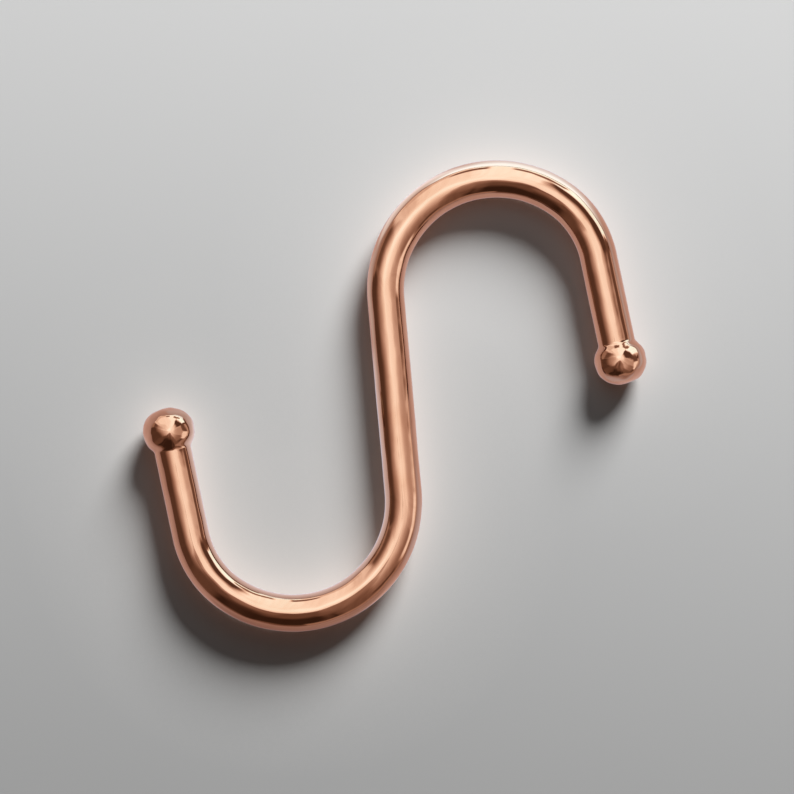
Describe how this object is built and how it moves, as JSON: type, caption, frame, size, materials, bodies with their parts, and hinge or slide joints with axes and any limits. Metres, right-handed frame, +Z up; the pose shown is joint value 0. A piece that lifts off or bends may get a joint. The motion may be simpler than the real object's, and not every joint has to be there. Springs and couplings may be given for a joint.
{
  "type": "s hook",
  "caption": "S-shaped hook of bent round wire with a rounded knob on each end, for hanging things from a rail, rod or ring.",
  "frame": {"origin": "centre of the hook's outline at the surface it lies on, which is also its centre of symmetry seen from above", "axes": "+Z up out of the plane of the S, +Y along the straight shank towards the upper bow, +X towards the leg of the upper bow"},
  "size_m": [0.0678, 0.0602, 0.007],
  "materials": {
    "polished_copper": "polished"
  },
  "bodies": {
    "root": {"s_hook": "polished_copper"}
  },
  "joints": []
}
